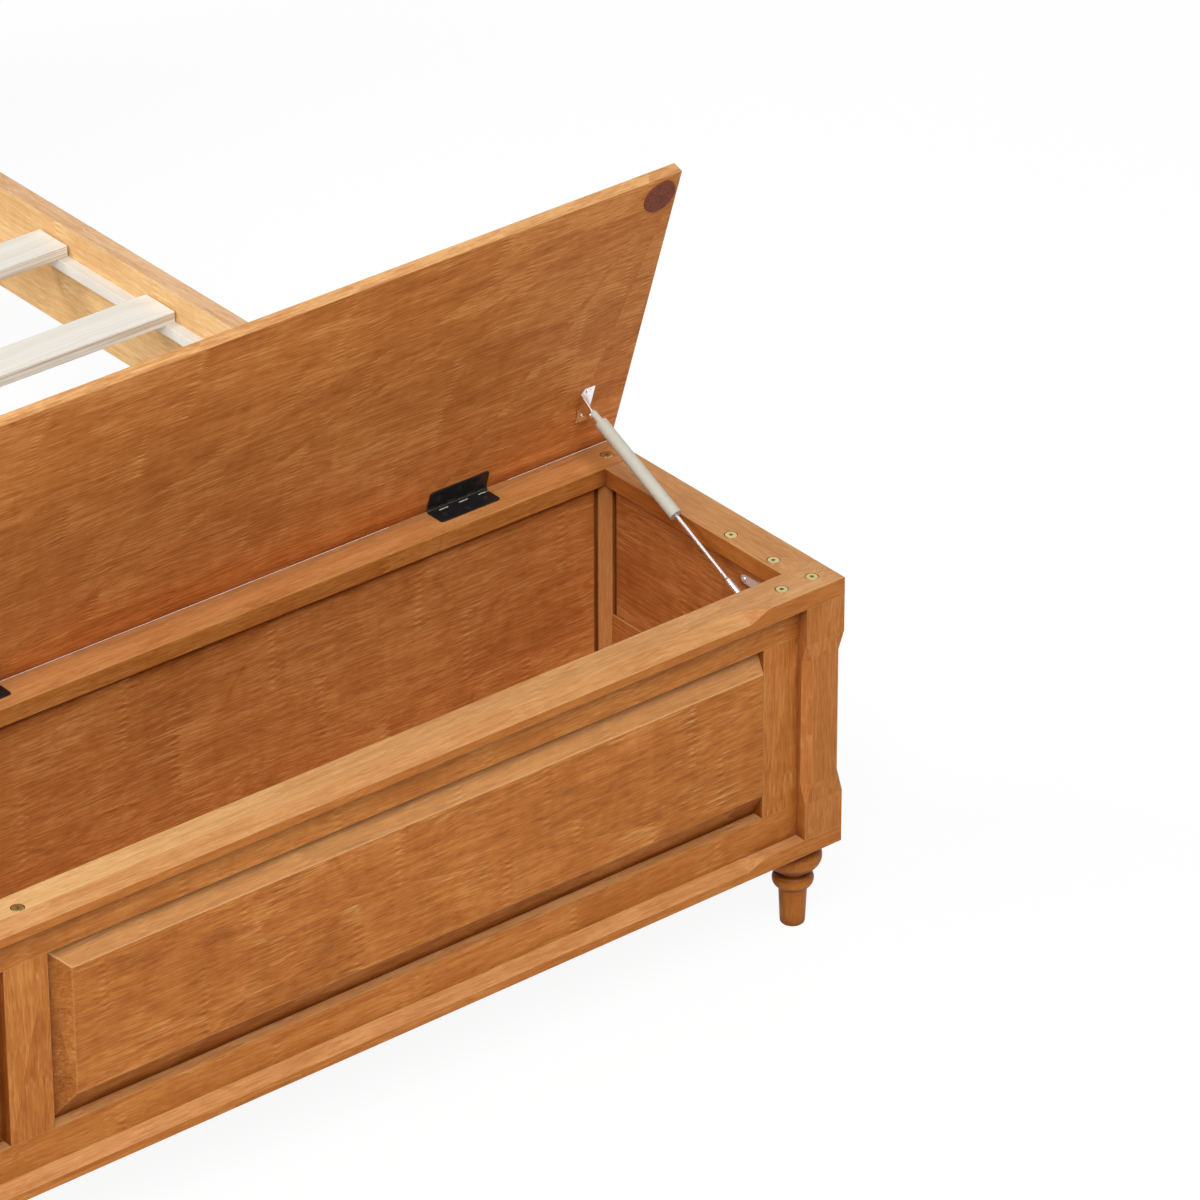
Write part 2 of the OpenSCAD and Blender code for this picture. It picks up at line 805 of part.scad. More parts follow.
// Plate under the lid, with an ear that stands off it beside the strut's socket
module strut_brackets_lid() {
    ear_x = -socket_d / 2 - ear_gap - ear_t;
    deep = strut_lid_d;
    plate = [[ear_x, 14], [-3, 18], [-1, 20], [11, 20], [12, 19], [12, -14], [21.5, -21],
        [23, -23], [23, -30], [-2, -30], [-3.5, -28], [-3.5, -14], [ear_x, -10]];
    ear = [[13, 1], [7.5, deep - 1], [5.5, deep + 1], [0, deep + 2], [-4, deep + 2], [-6.5, deep],
        [-9, 1]];
    color("silver") both() difference() {
        union() {
            at_lid_plate([0, 0]) translate([0, 0, -plate_t]) linear_extrude(plate_t)
                polygon([for (p = plate) [p[0], -p[1]]]);
            at_lid_plate([ear_x, 0]) rotate([90, 0, 90]) linear_extrude(ear_t) polygon(-ear);
            at_lid_plate([ear_x - rivet_t, 0]) translate([0, 0, -deep]) rotate([0, 90, 0])
                cylinder(d = rivet_d, h = rivet_t + ear_t / 2);
        }
        at_lid_plate_screws() screw_hole(bracket_screw_l);
    }
    color("silver") both() at_lid_plate_screws()
        pan_screw(bracket_screw_l, screw_head_d, bracket_head_t, screw_d);
}

// Side rails between the chest and the headboard
module side_rail(s) {
    color(wood) side(s) difference() {
        translate([half_w - side_t, rail_y0, side_z]) cube([side_t, inner_l, side_h]);
        angle_bolt_holes();
    }
}

// Distance from the chest to the near edge of a slat
function slat_y(i) = slat_first + i * slat_pitch;

// Strips that carry the ends of the slats, and a cleat under each end of the middle beam. The
// strips are short lengths that end under the slats; the first and the last run on to the bed's ends,
// and the last also takes a slat that would be left alone
module slat_ledgers() {
    color(pine) both() for (i = [0:ledger_slats:slat_count - 2]) {
        last = i + ledger_slats >= slat_count - 1;
        from = i == 0 ? ledger_gap : slat_y(i) + ledger_inset;
        to = last ? inner_l - ledger_gap : slat_y(i + ledger_slats - 1) + slat_w - ledger_inset;
        translate([half_w - side_t - ledger_w, rail_y0 + from, ledger_top - ledger_h])
            cube([ledger_w, to - from, ledger_h]);
    }
    color(pine) for (y = [beam_y0, beam_y0 + beam_l - cleat_t])
        translate([-mid_stile_w / 2, y, ledger_top - beam_h - cleat_h])
            cube([mid_stile_w, cleat_t, cleat_h]);
}

module slats() {
    color(pine) for (i = [0:slat_count - 1])
        translate([-slat_l / 2, rail_y0 + slat_y(i), ledger_top])
            cube([slat_l, slat_w, slat_t]);
}

module middle_beam() {
    color(pine) translate([-beam_w / 2, beam_y0, ledger_top - beam_h])
        cube([beam_w, beam_l, beam_h]);
}

module beam_legs() {
    color(pine) for (i = [1:leg_count]) translate([0, rail_y0 + inner_l * i / (leg_count + 1), 0]) {
        translate([-beam_w / 2, -beam_w / 2, glide_t])
            cube([beam_w, beam_w, ledger_top - beam_h - glide_t]);
        cylinder(r = glide_r, h = glide_t);
    }
}

// Steel angles in the corners between the side rails and the posts
module at_angles() {
    both() for (m = [0, 1])
        translate([half_w - side_t, rail_y0 + m * inner_l, angle_z]) mirror([0, m, 0]) children();
}

module at_angle_bolts() {
    at_angles() for (z = angle_bolt_z) {
        translate([-angle_post / 2 - angle_t / 2, angle_t, z]) rotate([-90, 0, 0]) children();
        translate([-angle_t, angle_rail * angle_bolt_out, z]) rotate([0, -90, 0]) children();
    }
}

module angle_bolt_holes() {
    at_angle_bolts() translate([0, 0, -angle_bolt_l - eps])
        cylinder(d = angle_bolt_d + 2 * play, h = angle_bolt_l + 2 * eps);
}

module rail_brackets() {
    color("silver") difference() {
        at_angles() {
            translate([-angle_post, 0, 0]) cube([angle_post, angle_t, angle_h]);
            translate([-angle_t, 0, 0]) cube([angle_t, angle_rail, angle_h]);
        }
        angle_bolt_holes();
    }
}

module rail_bolts() {
    color("gray") at_angle_bolts() difference() {
        union() {
            translate([0, 0, -angle_bolt_l]) cylinder(d = angle_bolt_d, h = angle_bolt_l + 1);
            cylinder(d = angle_head_d, h = angle_head_t, $fn = 6);
        }
        translate([0, 0, angle_head_t - angle_dimple]) cylinder(d = angle_head_d / 2, h = 2 * angle_dimple);
    }
}

// Headboard: posts and frames on a base board, with a cap over them
module headboard_posts() {
    color(wood) difference() {
        both() translate([half_w, head_y, base_top]) post(head_post_h, true);
        angle_bolt_holes();
    }
}

module headboard_boards() {
    length = bed_w - 2 * cut_stop;
    color(wood) translate([-half_w, head_y + (post_w - head_d) / 2, 0]) {
        translate([0, 0, foot_h]) cube([bed_w, head_d, base_t]);
        difference() {
            translate([0, 0, headboard_h - rim_t]) cube([bed_w, head_d, rim_t]);
            translate([cut_stop, 0, headboard_h])
                stopped_chamfer(length, rim_cut_top, rim_cut_front, cut_run);
            translate([cut_stop, head_d, headboard_h]) mirror([0, 1, 0])
                stopped_chamfer(length, rim_cut_top, rim_cut_front, cut_run);
        }
    }
}

module at_head(z) {
    translate([-front_l / 2, head_y + head_recess, z]) children();
}

module head_section_rails(height) {
    for (top = [false, true])
        translate([0, 0, top ? height - rail_h : 0]) wall_rail(front_l);
}

module headboard_rails() {
    color(wood) {
        at_head(base_top) head_section_rails(head_low_h);
        at_head(base_top + head_low_h) head_section_rails(head_high_h);
    }
}

module headboard_stiles() {
    color(wood) {
        at_head(base_top + rail_h) wall_stiles(front_l, head_panels, head_low_h - 2 * rail_h);
        at_head(base_top + head_low_h + rail_h) wall_stiles(front_l, head_panels, head_high_h - 2 * rail_h);
    }
}

module headboard_panels() {
    color(wood) at_head(base_top + head_low_h) for (i = [0:head_panels - 1])
        wall_panel(front_l, head_panels, i, head_high_h, 0);
}

module headboard_lower_panels() {
    color(wood) at_head(base_top) for (i = [0:head_panels - 1])
        wall_panel(front_l, head_panels, i, head_low_h, 0, false);
}

module headboard_feet() {
    color(wood) both() translate([half_w - foot_inset, head_y + post_w / 2, 0]) turned_foot();
}

chest_foot(-1, false);  // foot_front_left
chest_foot(1, false);  // foot_front_right
chest_foot(-1, true);  // foot_back_left
chest_foot(1, true);  // foot_back_right
base_long(false);  // base_front
base_long(true);  // base_back
base_end(-1);  // base_end_left
base_end(1);  // base_end_right
chest_post(-1, false);  // post_front_left
chest_post(1, false);  // post_front_right
chest_post(-1, true);  // post_back_left
chest_post(1, true);  // post_back_right
front_rail(false);  // front_bottom_rail
front_rail(true);  // front_top_rail
front_stiles();
front_panel(0);  // front_panel_left
front_panel(1);  // front_panel_right
back_rails();
back_stiles();
back_panels();
end_frame(-1);  // end_frame_left
end_frame(1);  // end_frame_right
end_panel(-1);  // end_panel_left
end_panel(1);  // end_panel_right
chest_floor();
end_skirts();
strut_pads();
rim_long(false);  // rim_front
rim_long(true);  // rim_back
rim_end(-1);  // rim_end_left
rim_end(1);  // rim_end_right
rim_bolts();
lid();
felt_pads();
hinge_leaves_chest();
hinge_leaves_lid();
hinge_pins();
hinge_screws_chest();
hinge_screws_lid();
strut_brackets_chest();
strut_brackets_lid();
strut_rod(-1);  // strut_rod_left
strut_rod(1);  // strut_rod_right
strut_tube(-1);  // strut_tube_left
strut_tube(1);  // strut_tube_right
side_rail(-1);  // side_rail_left
side_rail(1);  // side_rail_right
slat_ledgers();
slats();
middle_beam();
beam_legs();
rail_brackets();
rail_bolts();
headboard_posts();
headboard_boards();
headboard_rails();
headboard_stiles();
headboard_panels();
headboard_lower_panels();
headboard_feet();
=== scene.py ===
import bpy
import bmesh
import math
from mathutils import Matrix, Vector


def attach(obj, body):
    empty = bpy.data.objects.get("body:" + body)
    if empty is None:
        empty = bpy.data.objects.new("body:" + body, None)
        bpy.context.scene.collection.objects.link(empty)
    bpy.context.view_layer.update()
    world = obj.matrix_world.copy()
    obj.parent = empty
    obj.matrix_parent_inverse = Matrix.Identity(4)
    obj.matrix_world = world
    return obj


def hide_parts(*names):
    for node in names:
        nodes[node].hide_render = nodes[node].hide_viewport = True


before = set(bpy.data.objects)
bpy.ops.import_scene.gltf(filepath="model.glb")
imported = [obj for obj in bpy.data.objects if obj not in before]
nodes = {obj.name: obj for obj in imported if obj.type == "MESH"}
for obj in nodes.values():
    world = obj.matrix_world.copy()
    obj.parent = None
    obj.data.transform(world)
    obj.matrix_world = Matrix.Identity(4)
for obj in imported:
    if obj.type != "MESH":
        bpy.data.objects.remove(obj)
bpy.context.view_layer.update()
print("bed loaded,", len(nodes), "pieces")


# small helpers for building node trees
def startMaterial(name):
    mat = bpy.data.materials.new(name)
    mat.use_nodes = True
    tree = mat.node_tree
    tree.nodes.clear()
    out = tree.nodes.new("ShaderNodeOutputMaterial")
    shader = tree.nodes.new("ShaderNodeBsdfPrincipled")
    tree.links.new(shader.outputs["BSDF"], out.inputs["Surface"])
    return mat, tree, shader


def node(tree, kind, **settings):
    made = tree.nodes.new(kind)
    for key, value in settings.items():
        setattr(made, key, value)
    return made


def plug(tree, socket, value):
    if isinstance(value, bpy.types.NodeSocket):
        tree.links.new(value, socket)
    else:
        socket.default_value = value


def maths(tree, operation, *values):
    m = node(tree, "ShaderNodeMath", operation=operation)
    for socket, value in zip(m.inputs, values):
        plug(tree, socket, value)
    return m.outputs[0]


def sway(tree, value, amount):    # a value from 0 to 1, turned to run half the amount either way
    return maths(tree, "MULTIPLY_ADD", value, amount, -amount / 2)


def noise(tree, vector, scale, detail=2.0, rough=0.5, distort=0.0):
    n = node(tree, "ShaderNodeTexNoise")
    plug(tree, n.inputs["Vector"], vector)
    n.inputs["Scale"].default_value = scale
    n.inputs["Detail"].default_value = detail
    n.inputs["Roughness"].default_value = rough
    n.inputs["Distortion"].default_value = distort
    return n.outputs[0]


def objectPlace(tree):
    return node(tree, "ShaderNodeTexCoord").outputs["Object"]


def split(tree, vector):
    s = node(tree, "ShaderNodeSeparateXYZ")
    plug(tree, s.inputs[0], vector)
    return s.outputs


def combine(tree, x, y, z):
    c = node(tree, "ShaderNodeCombineXYZ")
    for socket, value in zip(c.inputs, (x, y, z)):
        plug(tree, socket, value)
    return c.outputs[0]


def mapRange(tree, value, low, high, toLow=0.0, toHigh=1.0):
    m = node(tree, "ShaderNodeMapRange", interpolation_type="SMOOTHSTEP")
    plug(tree, m.inputs["Value"], value)
    for key, v in (("From Min", low), ("From Max", high), ("To Min", toLow), ("To Max", toHigh)):
        m.inputs[key].default_value = v
    return m.outputs[0]


def mixColour(tree, amount, a, b, blend="MIX"):
    m = node(tree, "ShaderNodeMix", data_type="RGBA", blend_type=blend)
    plug(tree, m.inputs[0], amount)
    plug(tree, m.inputs[6], a if isinstance(a, bpy.types.NodeSocket) else (*a, 1.0))
    plug(tree, m.inputs[7], b if isinstance(b, bpy.types.NodeSocket) else (*b, 1.0))
    return m.outputs[2]


def tint(tree, amount, colour, factor):
    return mixColour(tree, amount, colour, mixColour(tree, 1.0, colour, factor, "MULTIPLY"))


def nearCorners(tree, distance, low, high):    # 1 deep in a corner, 0 on open faces
    hollow = node(tree, "ShaderNodeAmbientOcclusion", samples=6)
    hollow.inputs["Distance"].default_value = distance
    return mapRange(tree, hollow.outputs["AO"], low, high, 1.0, 0.0)


def bump(tree, height, strength, distance, normal=None):
    b = node(tree, "ShaderNodeBump")
    b.inputs["Strength"].default_value = strength
    b.inputs["Distance"].default_value = distance
    plug(tree, b.inputs["Height"], height)
    if normal is not None:
        plug(tree, b.inputs["Normal"], normal)
    return b.outputs[0]


# stained wood: short staves finger-jointed end to end, each with its own slope of grain
stain = {
    "light": (0.640, 0.285, 0.075),
    "middle": (0.440, 0.146, 0.026),
    "dark": (0.235, 0.060, 0.009),
    "stroke": (0.760, 0.420, 0.150),    # torn fibre, and the painted highlight on the chamfers
    "fleck": (0.130, 0.030, 0.005),    # pores
    # colours of the painted sheen on faces that look up
    "sheenLight": (0.720, 0.405, 0.175),
    "sheenDark": (0.500, 0.225, 0.075),
    "edge": (0.760, 0.420, 0.150),    # worn arrises, partly a painted highlight
    # painted highlight along a panel's upper bevel
    "crestHighlight": (0.800, 0.500, 0.230),
    "bevelShare": 0.35,    # of the crest's painted highlight
    # painted highlight on level tops towards the middle of the bed
    "middleHighlight": (1.20, 1.38, 1.45),    # this and the next four multiply the colour
    "pinker": (0.97, 0.94, 1.15),
    "cutEnd": (0.80, 0.77, 0.74),
    # painted shade on faces that look down
    "undersideShade": (0.74, 0.67, 0.64),
    # painted shade: darker in corners and recesses near another piece, where shade falls
    "paintedCornerShade": (0.55, 0.44, 0.38),
    "middleHighlightSpan": (0.05, 0.45),    # distance from the middle of the bed, painted highlight full and none
    "hollow": 0.022,    # how near another piece the painted corner shade reaches
    "ease": 0.0011,    # radius of the arrises
    "roughness": 0.44,
    "staveLength": 0.19,
    "staveWidth": 0.085,
    "staveStagger": 0.4,
    "staveShade": 0.13,
    "staveSlope": 0.08,
    "wander": 0.008,
    "fingerPitch": 0.0075,
    "fingerLength": 0.011,
    "fingerFlank": (0.0010, 0.0026),
    "fingerShade": 0.15,
    "joint": 0.94,    # where in a stave's length its fingers are cut
    "jointReach": 0.045,
    "strokes": 0.32,
    "strokesAtJoint": 0.5,
    "flecks": 0.30,
    "lines": 0.12,
    "arrisWearAndHighlight": 0.30,
}
deepStain = dict(stain, light=(0.640, 0.300, 0.095), middle=(0.440, 0.156, 0.038),
                 dark=(0.245, 0.068, 0.013))
# the side rails' paler painted sheen and painted light, and paler arrises
sheenStain = dict(stain, sheenLight=(0.800, 0.545, 0.265), sheenDark=(0.600, 0.335, 0.125),
                 edge=(0.950, 0.760, 0.500))
panelStain = dict(stain, ease=0.0028)

# the noises of the grain: fineness along it and across it, detail and roughness
grains = {
    "fibre": (20.0, 420.0, 3.0, 0.6),
    "broad": (6.0, 110.0, 3.0, 0.6),
    "hair": (60.0, 1000.0, 2.0, 0.6),
    "cloud": (7.0, 13.0, 2.0, 0.5),
    "blotch": (26.0, 34.0, 2.0, 0.5),
    "ripple": (75.0, 17.0, 2.0, 0.5),
    "patch": (11.0, 17.0, 1.0, 0.5),
    "torn": (22.0, 380.0, 2.0, 0.6),
    "pore": (48.0, 620.0, 1.0, 0.5),
    "bend": (2.4, 7.0, 2.0, 0.5),
}
# how much each one changes the shade, and the part of its range that counts
shades = {
    "cloud": (0.20, 0.30, 0.70),
    "blotch": (0.09, 0.34, 0.66),
    "fibre": (0.25, 0.34, 0.66),
    "broad": (0.13, 0.30, 0.70),
    "hair": (0.22, 0.34, 0.66),
    "ripple": (0.06, 0.34, 0.66),
}
# how far a face has to turn for each touch to start, and to be full
turns = {
    "cutEnd": (0.36, 0.48),
    "undersideShade": (-0.33, -0.42),
    "chamfer": (0.30, 0.46),
    "up": (0.55, 1.0),
    "inward": (-0.5, -0.9),
    "level": (0.86, 0.97),
    "bevel": (0.10, 0.25),
    "arris": (0.996, 0.965),
    "crestHighlight": (0.998, 0.975),
    "crestUp": (0.01, 0.12),
}
cornerShadeSpan = (0.35, 0.95)    # how open a corner is where the painted shade is darkest, and where it ends
boardOffsets = (7.3, 3.1, 1.7)    # keep the grain of one board unlike the next
pineOffsets = (5.0, 2.0, 1.3)
rowSeed = 12.9    # staggers one row of staves against the next
chestMiddle = -1.0565


def boardAxes(tree, geometry, along, shift, tilt):
    place = objectPlace(tree)
    if tilt:    # the lid's grain is laid out on the lid lying flat
        turn = node(tree, "ShaderNodeVectorRotate", rotation_type="X_AXIS")
        turn.inputs["Angle"].default_value = math.radians(tilt)
        plug(tree, turn.inputs["Vector"], place)
        place = turn.outputs[0]
    axes = split(tree, place)
    first = "xyz".index(along)
    own = geometry.outputs["Random Per Island"]
    offsets = [maths(tree, "MULTIPLY", own, offset) for offset in boardOffsets]
    offsets[0] = maths(tree, "ADD", offsets[0], shift)
    length, wide, thick = (maths(tree, "ADD", axes[(first + i) % 3], offset)
                           for i, offset in enumerate(offsets))
    return {"axes": axes, "run": axes[first], "length": length, "wide": wide, "thick": thick,
            "across": maths(tree, "ADD", wide, thick)}


def cutStaves(tree, board, look, stave):
    # a row number across the grain, and a count along it that breaks in a zigzag
    across, length = board["across"], board["length"]
    row = maths(tree, "FLOOR", maths(tree, "DIVIDE", across, look["staveWidth"]))
    zigzag = maths(tree, "PINGPONG", across, look["fingerPitch"] / 2)
    end = maths(tree, "MULTIPLY_ADD", zigzag, 2 * look["fingerLength"] / look["fingerPitch"], length)
    wobble = maths(tree, "SINE", maths(tree, "MULTIPLY", row, rowSeed))
    stagger = maths(tree, "MULTIPLY", wobble, look["staveStagger"])
    steps = maths(tree, "DIVIDE", maths(tree, "ADD", end, stagger), look["staveLength"])
    cell = node(tree, "ShaderNodeTexWhiteNoise", noise_dimensions="2D")
    plug(tree, cell.inputs["Vector"], combine(tree, row, maths(tree, "FLOOR", steps), 0.0))
    own = cell.outputs["Value"]
    # how near a joint this is, for the cut fingers that catch the stain differently
    straight = maths(tree, "DIVIDE", maths(tree, "ADD", length, stagger), look["staveLength"])
    part = maths(tree, "FRACT", straight)
    away = maths(tree, "ABSOLUTE", maths(tree, "SUBTRACT", part, look["joint"]))
    near = mapRange(tree, away, 0.0, look["jointReach"], 1.0, 0.0)
    teeth = mapRange(tree, zigzag, *look["fingerFlank"], -1.0, 1.0)
    # grain runs a little off the board's length, differently in each stave
    seed = maths(tree, "MULTIPLY", own, 4.0 * stave)
    drift = maths(tree, "MULTIPLY", board["run"], sway(tree, own, look["staveSlope"] * stave))
    wander = noise(tree, combine(tree, maths(tree, "MULTIPLY", length, 4.0), across, seed), 2.4)
    lean = maths(tree, "MULTIPLY_ADD", wander, look["wander"], drift)
    return {"own": own, "seed": seed, "near": near, "fingers": maths(tree, "MULTIPLY", teeth, near),
            "wide": maths(tree, "ADD", board["wide"], lean),
            "thick": maths(tree, "ADD", board["thick"], lean)}


def grain(tree, board, staves, kind):
    alongScale, acrossScale, detail, rough = grains[kind]
    place = combine(tree, maths(tree, "MULTIPLY", board["length"], alongScale),
                    maths(tree, "MULTIPLY", staves["wide"], acrossScale),
                    maths(tree, "MULTIPLY_ADD", staves["thick"], acrossScale, staves["seed"]))
    return noise(tree, place, 1.0, detail, rough)


def woodShade(tree, board, staves, layers, look, tone, stave, figure):
    shade = tone
    for kind, (amount, low, high) in shades.items():
        part = mapRange(tree, layers[kind], low, high)
        shade = maths(tree, "ADD", shade, sway(tree, part, amount * figure))
    shade = maths(tree, "ADD", shade, sway(tree, staves["own"], look["staveShade"] * stave))
    shade = maths(tree, "MULTIPLY_ADD", staves["fingers"], look["fingerShade"] * stave, shade)
    # a few growth lines, that bend and come and go
    bend = grain(tree, board, staves, "bend")
    bands = maths(tree, "SINE", maths(tree, "MULTIPLY_ADD", bend, 60.0,
                                      maths(tree, "MULTIPLY", board["across"], 120.0)))
    lines = maths(tree, "MULTIPLY", mapRange(tree, bands, 0.90, 1.0),
                  mapRange(tree, layers["cloud"], 0.45, 0.6))
    return maths(tree, "MULTIPLY_ADD", lines, -look["lines"] * figure, shade)


def stainColour(tree, board, staves, shade, pore, look, stave, figure, paintedLightGain):
    ramp = node(tree, "ShaderNodeValToRGB")
    plug(tree, ramp.inputs[0], shade)
    ramp.color_ramp.elements[0].color = (*look["dark"], 1)
    ramp.color_ramp.elements[1].color = (*look["light"], 1)
    half = ramp.color_ramp.elements.new(0.5)
    half.color = (*look["middle"], 1)
    # pale strokes where the fibre was torn, in patches and at the joints
    torn = mapRange(tree, grain(tree, board, staves, "torn"), 0.53, 0.66)
    patches = mapRange(tree, grain(tree, board, staves, "patch"), 0.50, 0.66, 0.08, 1.0)
    where = maths(tree, "MULTIPLY_ADD", staves["near"], look["strokesAtJoint"] * stave, patches)
    strokes = maths(tree, "MULTIPLY", maths(tree, "MULTIPLY", torn, where), look["strokes"] * figure)
    colour = mixColour(tree, strokes, ramp.outputs[0], look["stroke"])
    colour = mixColour(tree, maths(tree, "MULTIPLY", pore, look["flecks"] * figure), colour, look["fleck"])
    # brightens the whole material: painted light for the chest's inside, its ends and the lid, which lie in
    # shade
    return mixColour(tree, 1.0, colour, (paintedLightGain, paintedLightGain, paintedLightGain), "MULTIPLY")


def faceWays(tree, geometry, ease):
    soft = node(tree, "ShaderNodeBevel", samples=4)
    soft.inputs["Radius"].default_value = ease
    turned = node(tree, "ShaderNodeVectorMath", operation="DOT_PRODUCT")
    plug(tree, turned.inputs[0], soft.outputs[0])
    plug(tree, turned.inputs[1], geometry.outputs["True Normal"])
    # the way a face looks when the piece is at rest, so nothing changes as the lid turns
    still = node(tree, "ShaderNodeVectorTransform", vector_type="NORMAL", convert_from="WORLD",
                 convert_to="OBJECT")
    plug(tree, still.inputs[0], geometry.outputs["True Normal"])
    return {"soft": soft.outputs[0], "turned": turned.outputs["Value"],
            "way": split(tree, still.outputs[0])}


def turnedTo(tree, value, kind, most=1.0):    # 0 before the turn starts, the most when it is full
    return mapRange(tree, value, *turns[kind], 0.0, most)


# the touches below each take the colour so far and give it back changed
def paintChamferHighlight(tree, colour, faces, axes, amount, look):    # painted highlight on the posts' chamfers inside the chest, that face the light
    x, y = faces["way"][0], faces["way"][1]
    side = maths(tree, "SIGN", maths(tree, "SUBTRACT", chestMiddle, axes[1]))
    slant = maths(tree, "MULTIPLY", maths(tree, "MULTIPLY", y, side), maths(tree, "ABSOLUTE", x))
    return mixColour(tree, turnedTo(tree, slant, "chamfer", amount), colour, look["stroke"])


def paintTopSheen(tree, colour, faces, axes, shade, amount, innerFaceLit, look):
    # painted sheen: faces that look up are painted paler, as a soft top light shows them, and a side rail's
    # inner face is painted paler, as lit from the side
    flat = turnedTo(tree, faces["way"][2], "up")
    sheenColour = mixColour(tree, mapRange(tree, shade, 0.2, 0.8), look["sheenDark"], look["sheenLight"])
    where = maths(tree, "MULTIPLY", flat, amount)
    if innerFaceLit:    # whose painted top sheen is a little pinker than the painted light on the face
        inward = maths(tree, "MULTIPLY", faces["way"][0], maths(tree, "SIGN", axes[0]))
        where = maths(tree, "MAXIMUM", where, turnedTo(tree, inward, "inward"))
        sheenColour = tint(tree, flat, sheenColour, look["pinker"])
    return mixColour(tree, where, colour, sheenColour)


def paintCrestHighlight(tree, colour, faces, amount, look):    # painted highlight on a panel's field along its upper bevel, and on bevels that look up
    turning = turnedTo(tree, faces["turned"], "crestHighlight", amount)
    upper = maths(tree, "MULTIPLY", turning, turnedTo(tree, split(tree, faces["soft"])[2], "crestUp"))
    slope = turnedTo(tree, faces["way"][2], "bevel", amount * look["bevelShare"])
    return mixColour(tree, maths(tree, "MAXIMUM", upper, slope), colour, look["crestHighlight"])


def paintMiddleHighlight(tree, colour, faces, axes, look):    # painted highlight on the front rim's top, paler towards the middle of the bed
    middle = mapRange(tree, maths(tree, "ABSOLUTE", axes[0]), *look["middleHighlightSpan"], 1.0, 0.0)
    level = turnedTo(tree, faces["way"][2], "level")
    return tint(tree, maths(tree, "MULTIPLY", middle, level), colour, look["middleHighlight"])


def paintHingeLight(tree, colour, faces, span):    # painted light on the lid's inside, paler low down by the hinges where it lies in shade
    height = split(tree, objectPlace(tree))[2]
    low = mapRange(tree, height, span["low"], span["high"], 1.0, 0.0)
    inside = turnedTo(tree, faces["way"][1], "inward")
    return tint(tree, maths(tree, "MULTIPLY", low, inside), colour, span["paintedLightGain"])


def paintSlotHighlight(tree, colour, axes, strip):    # painted highlight in the strips under the hinge leaves, where the slots show bright
    spots = 0.0
    for middle in strip["middles"]:
        spot = maths(tree, "COMPARE", maths(tree, "ABSOLUTE", axes[0]), middle, strip["half"])
        spots = maths(tree, "ADD", spots, spot)
    line = maths(tree, "COMPARE", axes[1], strip["y"], strip["halfWidth"])
    return mixColour(tree, maths(tree, "MULTIPLY", spots, line), colour, strip["colour"])


def woodMaterial(name, along, tone=0.5, stave=1.0, figure=1.0, shift=0.0, tilt=0.0, paintedLightGain=1.0, gloss=0.10,
                 look=stain, topSheen=0.0, innerFaceLit=False, chamferHighlight=0.0, crestHighlight=0.0, middleHighlight=False,
                 hingeLight=None, slotHighlight=None):
    mat, tree, shader = startMaterial(name)
    geometry = node(tree, "ShaderNodeNewGeometry")
    board = boardAxes(tree, geometry, along, shift, tilt)
    axes = board["axes"]
    staves = cutStaves(tree, board, look, stave)
    layers = {kind: grain(tree, board, staves, kind) for kind in shades}
    pore = mapRange(tree, grain(tree, board, staves, "pore"), 0.63, 0.74)
    shade = woodShade(tree, board, staves, layers, look, tone, stave, figure)
    colour = stainColour(tree, board, staves, shade, pore, look, stave, figure, paintedLightGain)

    faces = faceWays(tree, geometry, look["ease"])
    # cut ends drink more stain, and faces that look down get a painted shade
    endways = maths(tree, "ABSOLUTE", faces["way"]["xyz".index(along)])
    colour = tint(tree, turnedTo(tree, endways, "cutEnd"), colour, look["cutEnd"])
    colour = tint(tree, turnedTo(tree, faces["way"][2], "undersideShade"), colour, look["undersideShade"])
    # painted highlight on the chamfers inside the chest
    if chamferHighlight:
        colour = paintChamferHighlight(tree, colour, faces, axes, chamferHighlight, look)
    # painted shade in corners and recesses, darker where another piece is near
    colour = tint(tree, nearCorners(tree, look["hollow"], *cornerShadeSpan), colour, look["paintedCornerShade"])
    # painted sheen on faces that look up
    if topSheen:
        colour = paintTopSheen(tree, colour, faces, axes, shade, topSheen, innerFaceLit, look)
    # worn pale along the arrises, partly wear and partly a painted highlight, where the eased normal turns
    # away from the flat one
    colour = mixColour(tree, turnedTo(tree, faces["turned"], "arris", look["arrisWearAndHighlight"]), colour, look["edge"])
    # painted highlight along the panel's upper bevel
    if crestHighlight:
        colour = paintCrestHighlight(tree, colour, faces, crestHighlight, look)
    # painted highlight on the front rim's top
    if middleHighlight:
        colour = paintMiddleHighlight(tree, colour, faces, axes, look)
    # painted light on the lid's inside by the hinges
    if hingeLight:
        colour = paintHingeLight(tree, colour, faces, hingeLight)
    # painted highlight under the hinge slots
    if slotHighlight:
        colour = paintSlotHighlight(tree, colour, axes, slotHighlight)
    plug(tree, shader.inputs["Base Color"], colour)

    rough = mapRange(tree, layers["fibre"], 0.3, 0.7, look["roughness"] + 0.04, look["roughness"] - 0.04)
    plug(tree, shader.inputs["Roughness"], maths(tree, "MULTIPLY_ADD", pore, 0.12, rough))
    shader.inputs["Specular IOR Level"].default_value = gloss
    fine = maths(tree, "MULTIPLY_ADD", pore, -0.6, layers["hair"])
    fine = bump(tree, fine, 0.16, 0.0003, faces["soft"])
    plug(tree, shader.inputs["Normal"], bump(tree, layers["fibre"], 0.14, 0.0005, fine))
    return mat


# bare pine: pale, with soft wide grain, and thin layers on the sawn edges of the slats
pine = {
    "pale": (0.770, 0.750, 0.690),
    "warm": (0.650, 0.595, 0.490),
    "layer": (0.470, 0.350, 0.215),
    "layers": 430.0,    # fineness across the thickness
    "layerShare": 0.75,
    "roughness": 0.62,
}
greyPine = dict(pine, pale=(0.690, 0.670, 0.610), warm=(0.600, 0.560, 0.480))


